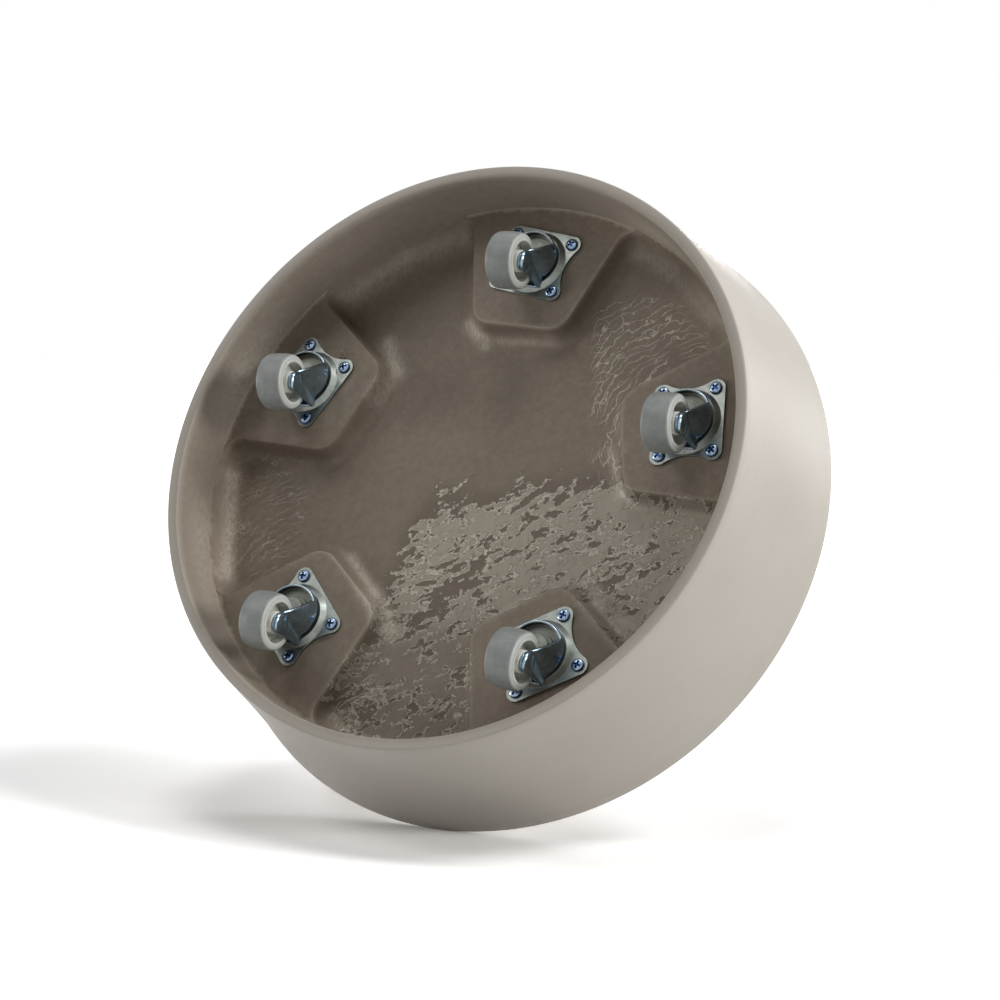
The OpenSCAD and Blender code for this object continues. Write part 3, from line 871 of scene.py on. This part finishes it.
# How the glaze's ragged edges are drawn out (degrees, times as long) and how strong they are
RAGS_ALONG = (-20, 2.2)
RAGS_GAIN = 1.35
# The pale rim, partly painted highlight: its middle over the glaze's edge, and how far out and in
# it fades
RIM_AT = 0.09
RIM_FADE = (0.125, 0.03)
# Shares of the covering colours
GLAZE_COVER = 0.85
PIT_COVER = 0.8
RIM_HIGHLIGHT_COVER = 0.85
SCUFF_AND_HIGHLIGHT_COVER = 0.74
FOLD_COVER = 0.68
PAINTED_SHADE_COVER = 0.42
EDGE_HIGHLIGHT_COVER = 0.2
# Roughness outside and inside, how much smoother the glaze is, and the unevenness of all
ROUGH_OUTSIDE = 0.42
ROUGH_INSIDE = 0.5
GLAZE_SMOOTHER = 0.17
ROUGH_SPREAD = 0.12
SAUCER_SHINE = 0.2
# Bumps in metres, and their strength
GRAIN_BUMP = (0.00004, 0.6)
CLOUD_BUMP = (0.0002, 0.3)
GLAZE_BUMP = (0.0004, 1.0)
FOLD_BUMP = (0.00008, 0.5)
# Sets of fold lines: spacing in millimetres, broad and fine size of the waves, and the shift of
# the pattern in metres; then the waves' heights, how far from a line's middle it fades, and
# where the lines break off
FOLD_SETS = (
    (5.0, 30.0, 190.0, 0.0),
    (8.0, 38.0, 150.0, 0.37),
    (4.2, 34.0, 210.0, 0.71),
)
FOLD_WAVES = (6.0, 1.25)
FOLD_FADE = (0.066, 0.014)
FOLD_BREAKS = (0.44, 0.56)


def fold_lines(s):
    """Thin broken crinkles that run along the bays' borders, where the skin is wrinkled."""
    total = None
    for step, broad, fine, shift in FOLD_SETS:
        where = s.along(0, 1.0, shift)
        warp = s.centred(s.noise(broad, 3, 0.5, 0.0, where), FOLD_WAVES[0])
        wiggle = s.centred(s.noise(fine, 6, 0.62, 0.3, where), FOLD_WAVES[1])
        reach = s.times(s.field("reach"), 1.0 / step)
        wave = s.math("ADD", s.math("ADD", reach, warp), wiggle)
        off = s.math("SUBTRACT", s.math("FRACT", wave), 0.5)
        line = s.ramp(s.math("ABSOLUTE", off), *FOLD_FADE)
        there = s.ramp(s.noise(1.6 * broad, 3, 0.6, 0.3, where), *FOLD_BREAKS)
        line = s.times(line, there)
        total = line if total is None else s.math("MAXIMUM", total, line)
    zone = s.math("ADD", s.field("wrinkled"), s.centred(s.noise(90.0, 3), 0.5))
    return s.times(total, s.ramp(zone, 0.3, 0.75))


def outside_colour(s):
    """The outer wall: faint clouds, and streaks round it."""
    deep = s.ramp(s.noise(*SAUCER_BROAD), 0.3, 0.75, 0, 0.7)
    colour = s.mix(deep, OUTSIDE, OUTSIDE_DEEP)
    streak = s.noise(*WALL_STREAKS, s.stretch((1, 1, 9)))
    return s.mix(s.ramp(streak, 0.45, 0.8, 0, 0.35), colour, OUTSIDE_DEEP)


def glaze_masks(s):
    """Where the glaze lies, where it left pits and where its pale rims are, each 0 to 1; the rims
    are partly painted highlight.
    """
    patched = s.field("patched")
    ragged = s.centred(s.noise(*GLAZE_RAGS, s.along(*RAGS_ALONG)), RAGS_GAIN)
    thin = s.times(s.math("SUBTRACT", patched, 1.0), 0.75)
    edge = s.math("ADD", s.math("ADD", s.field("glaze"), ragged), thin)
    border = s.math("ADD", patched, s.centred(s.noise(*GLAZE_BORDER), 0.5))
    zone = s.ramp(border, 0.02, 0.3)
    shiny = s.times(s.ramp(edge, -0.02, 0.02), zone)
    pit = s.times(s.ramp(edge, 0.0, -0.04), zone)
    pit = s.times(pit, s.ramp(patched, 0.1, 0.7, 0.0, PIT_COVER))
    from_rim = s.math("ABSOLUTE", s.math("SUBTRACT", edge, RIM_AT))
    rim_highlight = s.times(s.ramp(from_rim, *RIM_FADE), zone)
    return shiny, pit, rim_highlight


def inside_colour(s, cloud, grain, glaze, line):
    """The inside: cloudy plastic under glaze partly painted as sheen, rims and scuffs partly
    painted as highlight, folds, painted shade and painted highlight lines along edges.
    """
    shiny, pit, rim_highlight = glaze
    colour = s.mix(s.ramp(cloud, 0.3, 0.72), INSIDE_DEEP, INSIDE)
    colour = s.mix(s.ramp(grain, 0.35, 0.8, 0, 0.25), colour, INSIDE_DEEP)
    streak = s.noise(*GLAZE_STREAKS, s.stretch((1, 0.11, 1)))
    glaze_and_sheen = s.mix(s.ramp(streak, 0.36, 0.66), GLAZE_AND_SHEEN_DEEP, GLAZE_AND_SHEEN)
    hairs = s.noise(*SCUFF_HAIRS, s.stretch((1, 0.25, 0.4)))
    scuff_and_highlight = s.times(s.field("scuff_and_highlight"), s.ramp(hairs, 0.34, 0.62, 0.35, 1.0))
    for share, over in (
        (pit, PIT),
        # the glaze, its paler colour partly painted sheen
        (s.times(s.times(shiny, GLAZE_COVER), s.field("pale")), glaze_and_sheen),
        # pale rims, partly painted highlight on the glaze's edges
        (s.times(rim_highlight, RIM_HIGHLIGHT_COVER), CREASE_AND_RIM_HIGHLIGHT),
        # pale scuffs, partly painted highlight on the pads' feet and the skirt's fillet
        (s.times(scuff_and_highlight, SCUFF_AND_HIGHLIGHT_COVER), PALE_SCUFF_AND_HIGHLIGHT),
        (s.times(line, FOLD_COVER), CREASE_AND_RIM_HIGHLIGHT),
        # painted shade on the pads' sides
        (s.times(s.field("side"), PAINTED_SHADE_COVER), PAINTED_SHADE),
        # painted highlight lines along the pads' and the skirt's edges
        (s.times(s.field("crest"), EDGE_HIGHLIGHT_COVER), PALE_SCUFF_AND_HIGHLIGHT),
    ):
        colour = s.mix(share, colour, over)
    return colour


def saucer_material():
    """Moulded plastic: plain outside; glazed, wrinkled and scuffed inside, with painted highlights,
    sheen and shade.
    """
    s = Shader("saucer_plastic")
    cloud, grain = s.noise(*SAUCER_CLOUD), s.noise(*SAUCER_GRAIN)
    line, glaze = fold_lines(s), glaze_masks(s)
    inside = s.field("inside")
    colour = s.mix(inside, outside_colour(s), inside_colour(s, cloud, grain, glaze, line))
    shiny, _, rim_highlight = glaze
    rough = s.node("Mix", {"Factor": inside}, data_type="FLOAT")
    s.put(rough.inputs["A"], ROUGH_OUTSIDE)
    s.put(rough.inputs["B"], s.math("SUBTRACT", ROUGH_INSIDE, s.times(shiny, GLAZE_SMOOTHER)))
    uneven = s.math("ADD", rough.outputs[0], s.centred(cloud, ROUGH_SPREAD))
    normal = s.bump(grain, *GRAIN_BUMP)
    normal = s.bump(cloud, *CLOUD_BUMP, normal)
    normal = s.bump(s.math("ADD", s.times(rim_highlight, 0.5), shiny), *GLAZE_BUMP, normal)
    normal = s.bump(line, *FOLD_BUMP, normal)
    return s.surface(colour, uneven, normal, Specular_IOR_Level=SAUCER_SHINE)


# ---- the other materials


METAL_CLOUD = (220.0, 4, 0.6, 0.6)
METAL_GRAIN = (900.0, 3, 0.6)
METAL_BLOTCH = (0.35, 0.7)
METAL_SPREAD = 0.16
METAL_GRAIN_STRENGTH = 0.4
METAL_CLOUD_BUMP = (0.00008, 0.2)
# How far edges are softened, in metres: on most metals, and on the yokes' drawn sheet
METAL_EDGE = 0.0003
YOKE_EDGE = 0.0013
SCREW_EDGE = 0.6 * METAL_EDGE
# Metals: name, light and deep colour, roughness, depth of the grain in metres
PLATE = ("zinc_plate", srgb(132, 136, 131), srgb(115, 120, 115), 0.4, 0.00002)
RACE = ("dull_zinc", srgb(84, 87, 81), srgb(70, 73, 68), 0.36, 0.00002)
PIN = ("pin_steel", srgb(112, 114, 108), srgb(96, 99, 95), 0.45, 0.00002)
BALLS = ("bearing_steel", srgb(225, 228, 230), srgb(205, 208, 212), 0.1, 0.00001)

YOKE_PALE = srgb(160, 180, 196)
YOKE_DEEP = srgb(134, 156, 174)
# painted shade inside the yoke's cup
YOKE_CUP_SHADE = srgb(88, 90, 84)
YOKE_GRAIN = (700.0, 3, 0.6)
# The yoke's cup, whose inside has painted shade: where its inside ends, out from the swivel's axis
# and down at the legs
YOKE_CUP_R = (14.4 * MM, 13.9 * MM)
YOKE_LEG_Z = 0.030
YOKE_FADE = 2 * MM
YOKE_ROUGH = 0.2
YOKE_DULLER = 0.25
YOKE_BUMP = (0.00001, 0.4)

SCREW_PALE = srgb(160, 176, 194)
SCREW_BLUE = srgb(106, 126, 156)
# colour of the painted shade in the screws' recesses and under their heads
SCREW_SHADE = srgb(30, 50, 84)
SCREW_GRAIN = (1100.0, 3, 0.6)
SCREW_ROUGH = 0.24
SCREW_BUMP = (0.00003, 0.5)
# Heights over the screws' faces at which their painted shade starts and is full
SCREW_SHADE_HEIGHTS = (0.25 * MM, 0.95 * MM)

PLASTIC_CLOUD = (180.0, 4, 0.6, 0.5)
PLASTIC_GRAIN = (2600.0, 2, 0.5)
PLASTIC_BLOTCH = (0.3, 0.75)
PLASTIC_SPREAD = 0.14
PLASTIC_BUMP = (0.00002, 0.5)
TYRE_BUMP = (0.00003, 0.5)
CORE = srgb(206, 207, 200)
CORE_DEEP = srgb(192, 193, 184)
CORE_HUB_PAINTED_LIGHT = srgb(244, 244, 236)
CORE_ROUGH = 0.4
# The hub's radius, and where its painted light has ended and begins to end
HUB_R = 5.7 * MM
HUB_FADE = (HUB_R + 0.5 * MM, HUB_R + 0.2 * MM)
SHAVING = srgb(186, 168, 146)
SHAVING_DEEP = srgb(150, 132, 112)
SHAVING_ROUGH = 0.5
TREAD = srgb(134, 138, 135)
TREAD_DEEP = srgb(121, 125, 122)
TYRE_SIDE = srgb(186, 190, 186)
TYRE_ROUGH = 0.44
# How square to the axle a side has to be to turn paler
TYRE_FACING = (0.55, 0.9)


def metal_material(name, light, deep, rough, grain_depth):
    """Bright zinc or steel with soft blotches, fine grain, uneven gloss and softened edges."""
    s = Shader(name)
    cloud = s.noise(*METAL_CLOUD)
    colour = s.mix(s.ramp(cloud, *METAL_BLOTCH), light, deep)
    grain = s.noise(*METAL_GRAIN)
    normal = s.bump(grain, grain_depth, METAL_GRAIN_STRENGTH, s.rounded(METAL_EDGE))
    normal = s.bump(cloud, *METAL_CLOUD_BUMP, normal)
    gloss = s.math("ADD", rough, s.centred(cloud, METAL_SPREAD))
    return s.surface(colour, gloss, normal, Metallic=1.0)


def yoke_material(name, centre):
    """Drawn zinc, duller inside the cup round the swivel's axis, where shade is painted."""
    s = Shader(name)
    colour = s.mix(s.ramp(s.noise(*METAL_CLOUD), *METAL_BLOTCH), YOKE_PALE, YOKE_DEEP)
    span = s.vector("DISTANCE", s.vector("MULTIPLY", s.coords, (1, 1, 0)), centre, "Value")
    above = s.ramp(s.height(), YOKE_LEG_Z - YOKE_FADE, YOKE_LEG_Z + YOKE_FADE)
    # painted shade inside the cup
    cup_shade = s.times(s.ramp(span, *YOKE_CUP_R), above)
    colour = s.mix(cup_shade, colour, YOKE_CUP_SHADE)
    normal = s.bump(s.noise(*YOKE_GRAIN), *YOKE_BUMP, s.rounded(YOKE_EDGE, 8))
    gloss = s.math("ADD", YOKE_ROUGH, s.times(cup_shade, YOKE_DULLER))
    return s.surface(colour, gloss, normal, Metallic=1.0)


def screw_material(face_z):
    """Blue zinc, with painted shade down in the recess and under the head's edge, below its face.
    """
    s = Shader("blue_zinc")
    grain = s.noise(*SCREW_GRAIN)
    # painted shade deeper than the screw's face
    low = s.ramp(s.height(), face_z + SCREW_SHADE_HEIGHTS[0], face_z + SCREW_SHADE_HEIGHTS[1])
    face = s.mix(s.ramp(grain, *METAL_BLOTCH), SCREW_PALE, SCREW_BLUE)
    normal = s.bump(grain, *SCREW_BUMP, s.rounded(SCREW_EDGE))
    return s.surface(s.mix(low, face, SCREW_SHADE), SCREW_ROUGH, normal, Metallic=1.0)


def tyre_material(name, axle):
    """Grey rubber whose flat sides, square to the axle, are paler than the tread."""
    s = Shader(name)
    tread = s.mix(s.ramp(s.noise(*PLASTIC_CLOUD), *PLASTIC_BLOTCH), TREAD, TREAD_DEEP)
    lean = s.node("TexCoord").outputs["Normal"]
    facing = s.math("ABSOLUTE", s.vector("DOT_PRODUCT", lean, axle, "Value"))
    colour = s.mix(s.ramp(facing, *TYRE_FACING), tread, TYRE_SIDE)
    return s.surface(colour, TYRE_ROUGH, s.bump(s.noise(*PLASTIC_GRAIN), *TYRE_BUMP))


def plastic(s, light, deep):
    """Cloudy colour, uneven roughness about 0 and grained direction of a moulded plastic."""
    cloud = s.noise(*PLASTIC_CLOUD)
    colour = s.mix(s.ramp(cloud, *PLASTIC_BLOTCH), light, deep)
    normal = s.bump(s.noise(*PLASTIC_GRAIN), *PLASTIC_BUMP)
    return colour, s.centred(cloud, PLASTIC_SPREAD), normal


def core_material(name, place, axle):
    """Pale plastic, with painted light on the hub round the axle."""
    s = Shader(name)
    colour, uneven, normal = plastic(s, CORE, CORE_DEEP)
    arm = s.vector("SUBTRACT", s.coords, place)
    off = s.vector("LENGTH", s.vector("CROSS_PRODUCT", arm, axle), result="Value")
    # painted light on the hub
    colour = s.mix(s.ramp(off, *HUB_FADE), colour, CORE_HUB_PAINTED_LIGHT)
    return s.surface(colour, s.math("ADD", CORE_ROUGH, uneven), normal)


def shaving_material():
    """The saucer's plastic where it was cut, paler and rougher."""
    s = Shader("shaving_plastic")
    colour, uneven, normal = plastic(s, SHAVING, SHAVING_DEEP)
    return s.surface(colour, s.math("ADD", SHAVING_ROUGH, uneven), normal)


def make_materials(frame):
    """Materials by the kind of node, and by node where each piece has its own."""
    pin, balls = metal_material(*PIN), metal_material(*BALLS)
    made = {
        "saucer_body": saucer_material(), "shavings": shaving_material(),
        "plate": metal_material(*PLATE), "race_cup": metal_material(*RACE),
        "kingpin": pin, "axle": pin, "upper_balls": balls, "lower_balls": balls,
        "screws": screw_material(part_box("screws_1")[0].z),
    }
    joints = {joint["name"]: joint for joint in frame["record"]["behaviour"]["joints"]}
    for i in range(1, CASTERS + 1):
        spin = joints[f"wheel_spin_{i}"]
        axle, wheel = tuple(spin["axis"]), tuple(spin["pos_m"])
        x, y, _ = joints[f"swivel_turn_{i}"]["pos_m"]
        made[f"tyre_{i}"] = tyre_material(f"tyre_rubber_{i}", axle)
        made[f"yoke_{i}"] = yoke_material(f"zinc_yoke_{i}", (x, y, 0.0))
        made[f"wheel_core_{i}"] = core_material(f"wheel_plastic_{i}", wheel, axle)
    return made


def dress(frame, materials):
    """Gives each carried-over CAD node its material."""
    for name, obj in frame["nodes"].items():
        material = materials.get(name) or materials.get(name.rsplit("_", 1)[0])
        if material:
            obj.data.materials.clear()
            obj.data.materials.append(material)


# ---- camera, stage and light


def photo_axes():
    """The photograph's right, down and forward directions and the camera's place, all in the
    frame, and the up direction of the room."""
    turn = Vector(CAM_TURN)
    to_camera = Matrix.Rotation(turn.length, 3, turn.normalized())
    to_camera = to_camera @ Matrix.Rotation(PART_TURN, 3, "Z")
    shift = Vector(CAM_SHIFT) * RIM_R * MM
    place = Vector((0, 0, RIM_Z * MM)) - to_camera.transposed() @ shift
    up_seen = Vector((0, -math.cos(PHOTO_PITCH), -math.sin(PHOTO_PITCH)))
    return to_camera, place, to_camera.transposed() @ up_seen


def make_camera():
    """The scene's camera, as fitted to the photograph."""
    to_camera, place, _ = photo_axes()
    flip = Matrix(((1, 0, 0), (0, -1, 0), (0, 0, -1)))
    data = bpy.data.cameras.new("photo_camera")
    data.sensor_width = SENSOR_MM
    data.lens = CAM_FOCAL_PX / PHOTO_PX * SENSOR_MM
    data.clip_start = CLIP_START
    camera = bpy.data.objects.new("photo_camera", data)
    camera.matrix_world = Matrix.Translation(place) @ (to_camera.transposed() @ flip).to_4x4()
    bpy.context.scene.collection.objects.link(camera)
    bpy.context.scene.camera = camera


def from_photo(right, up, near):
    """A direction given as seen in the photograph, in the frame."""
    to_camera, _, _ = photo_axes()
    return (to_camera.transposed() @ Vector((right, -up, -near))).normalized()


def floor_place(up):
    """Where the tilted saucer's lip touches the floor."""
    flat = Vector((up.x, up.y, 0)).normalized()
    centre = -flat * (LIP_R - LIP_ROUND) * MM + Vector((0, 0, (TOP_Z - LIP_ROUND) * MM))
    return centre - up * LIP_ROUND * MM


def seen_rays(tree):
    """1 for rays that show a thing to the camera, straight or by a mirror or glass, else 0."""
    rays = tree.nodes.new("ShaderNodeLightPath").outputs
    seen = rays["Is Camera Ray"]
    for name in ("Is Glossy Ray", "Is Transmission Ray"):
        either = tree.nodes.new("ShaderNodeMath")
        either.operation = "MAXIMUM"
        tree.links.new(seen, either.inputs[0])
        tree.links.new(rays[name], either.inputs[1])
        seen = either.outputs[0]
    return seen


FLOOR_HALF = 4.0
# The floor's glow, the colour with which it lights the part, and the brighter one that it shows,
# so that lit floor is as white as the world behind it
FLOOR_GLOW = 0.02
FLOOR_COLOUR = (0.92, 0.92, 0.92, 1.0)
FLOOR_SEEN = (1.5, 1.5, 1.5, 1.0)


def floor_material():
    """Pale floor that shows from above only: white to the camera, with the shadow left in."""
    s = Shader("floor")
    seen = seen_rays(s.tree)
    back = s.node("NewGeometry").outputs["Backfacing"]
    colour = s.mix(seen, FLOOR_COLOUR, FLOOR_SEEN)
    plain = s.node("BsdfDiffuse", {"Color": colour}).outputs[0]
    glow = s.node("Emission", {"Color": (1, 1, 1, 1), "Strength": FLOOR_GLOW})
    none = s.node("Emission", {"Strength": 0.0}).outputs[0]
    lift = s.node("MixShader", {0: seen, 1: none, 2: glow.outputs[0]}).outputs[0]
    both = s.node("AddShader", {0: plain, 1: lift}).outputs[0]
    clear = s.node("BsdfTransparent").outputs[0]
    made = s.node("MixShader", {0: back, 1: both, 2: clear}).outputs[0]
    s.tree.links.new(made, s.out.inputs["Surface"])
    return s.material


def make_floor():
    """The floor that the tilted saucer stands on, square to the room's up direction."""
    _, _, up = photo_axes()
    turn = Vector((0, 0, 1)).rotation_difference(up).to_matrix().to_4x4()
    h = FLOOR_HALF / MM
    corners = [(-h, -h, 0), (h, -h, 0), (h, h, 0), (-h, h, 0)]
    floor = mesh_object("floor", corners, [(0, 1, 2, 3)])
    floor.matrix_world = Matrix.Translation(floor_place(up)) @ turn
    floor.data.materials.append(floor_material())


def make_world():
    """White to the camera and in what shines or is clear; the lamps alone light the rest."""
    world = bpy.data.worlds.new("studio")
    bpy.context.scene.world = world
    world.use_nodes = True
    tree = world.node_tree
    tree.nodes.clear()
    white = tree.nodes.new("ShaderNodeBackground")
    white.inputs["Color"].default_value = (1, 1, 1, 1)
    tree.links.new(seen_rays(tree), white.inputs["Strength"])
    out = tree.nodes.new("ShaderNodeOutputWorld")
    tree.links.new(white.outputs[0], out.inputs["Surface"])


LAMPS = (
    # name, direction seen in the photograph (right, up, near), share of full light
    ("right_front", (0.84, 0.22, 0.50), 0.46),
    ("right", (0.97, 0.04, 0.14), 0.16),
    ("right_top", (0.60, 0.74, 0.27), 0.31),
    ("left", (-0.99, 0.08, -0.03), 0.31),
    ("left_top", (-0.59, 0.74, 0.24), 0.12),
    ("top", (0.00, 0.97, 0.15), 0.19),
    ("top_back", (0.00, 0.83, -0.56), 0.08),
    ("right_top_back", (0.49, 0.67, -0.56), 0.11),
    ("right_back", (0.80, 0.24, -0.54), 0.17),
    ("left_back", (-0.95, 0.00, -0.31), 0.06),
    ("back", (0.15, 0.02, -1.00), 0.40),
)
LAMP_SPREAD = math.radians(18)


def make_lamps():
    """Broad far lamps, each as strong as its share of what lights a colour as written."""
    for name, seen, share in LAMPS:
        data = bpy.data.lights.new(name, "SUN")
        data.angle = LAMP_SPREAD
        data.energy = math.pi * share
        lamp = bpy.data.objects.new(name, data)
        lamp.rotation_euler = from_photo(*seen).to_track_quat("Z", "Y").to_euler()
        bpy.context.scene.collection.objects.link(lamp)


# ---- the scene


def main():
    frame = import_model()
    materials = make_materials(frame)
    dress(frame, materials)
    saucer = make_saucer()
    saucer.data.materials.append(materials["saucer_body"])
    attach(saucer, "saucer")
    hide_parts("saucer")
    shavings = make_shavings()
    shavings.data.materials.append(materials["shavings"])
    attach(shavings, "saucer")
    make_camera()
    make_floor()
    make_world()
    make_lamps()
    bpy.context.scene.view_settings.view_transform = "Standard"


main()
